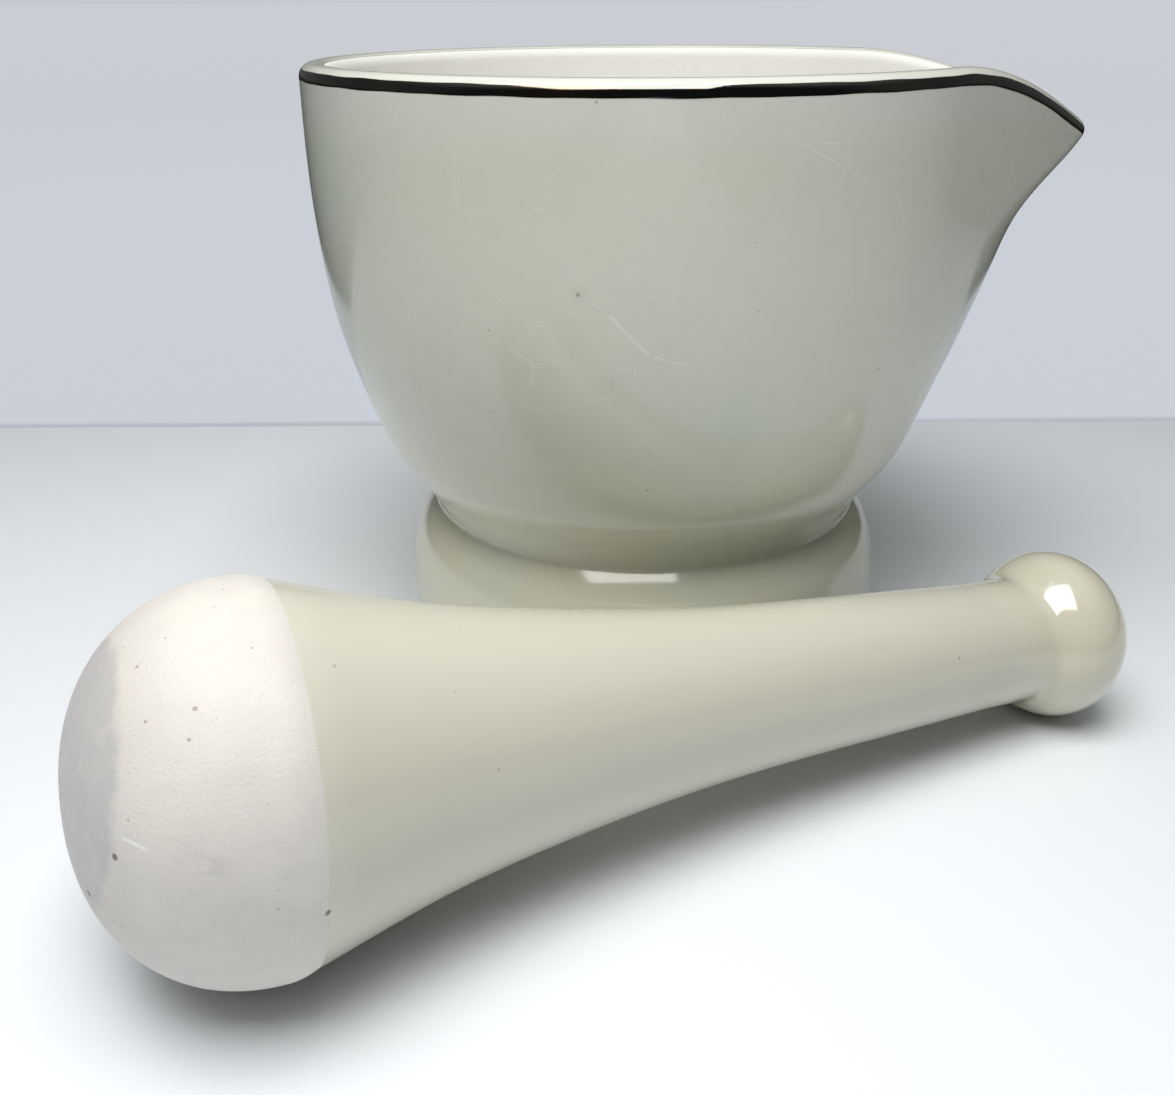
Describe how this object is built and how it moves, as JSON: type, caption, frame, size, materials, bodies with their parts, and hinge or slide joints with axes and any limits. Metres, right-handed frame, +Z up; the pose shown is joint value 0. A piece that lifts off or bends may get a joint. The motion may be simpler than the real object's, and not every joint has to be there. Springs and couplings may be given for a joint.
{
  "type": "mortar and pestle",
  "caption": "Lipped porcelain mortar on a ring foot with a lustre rim band, and its pestle with a bare grinding head and a glazed, ball-ended handle.",
  "frame": {"origin": "centre of the mortar's ring foot, on the table it stands on", "axes": "+Z up along the mortar's axis, +X towards its pouring lip, and the pestle lies on the table on the -Y side"},
  "size_m": [0.1329, 0.1547, 0.0892],
  "materials": {
    "biscuit": "unglazed biscuit porcelain, fine sandy grain",
    "glaze": "glossy cream glaze, finely crazed",
    "lustre": "fired-on dark metallic lustre"
  },
  "bodies": {
    "mortar": {"mortar_body": "biscuit", "mortar_glaze": "glaze", "rim_band": "lustre"},
    "pestle": {"pestle_body": "biscuit", "pestle_glaze": "glaze"}
  },
  "joints": [
    {"name": "pestle_lift", "type": "slide", "parent": "mortar", "child": "pestle", "axis": [0.2105, -0.4535, 0.866], "range_m": [0, 0.13]}
  ]
}
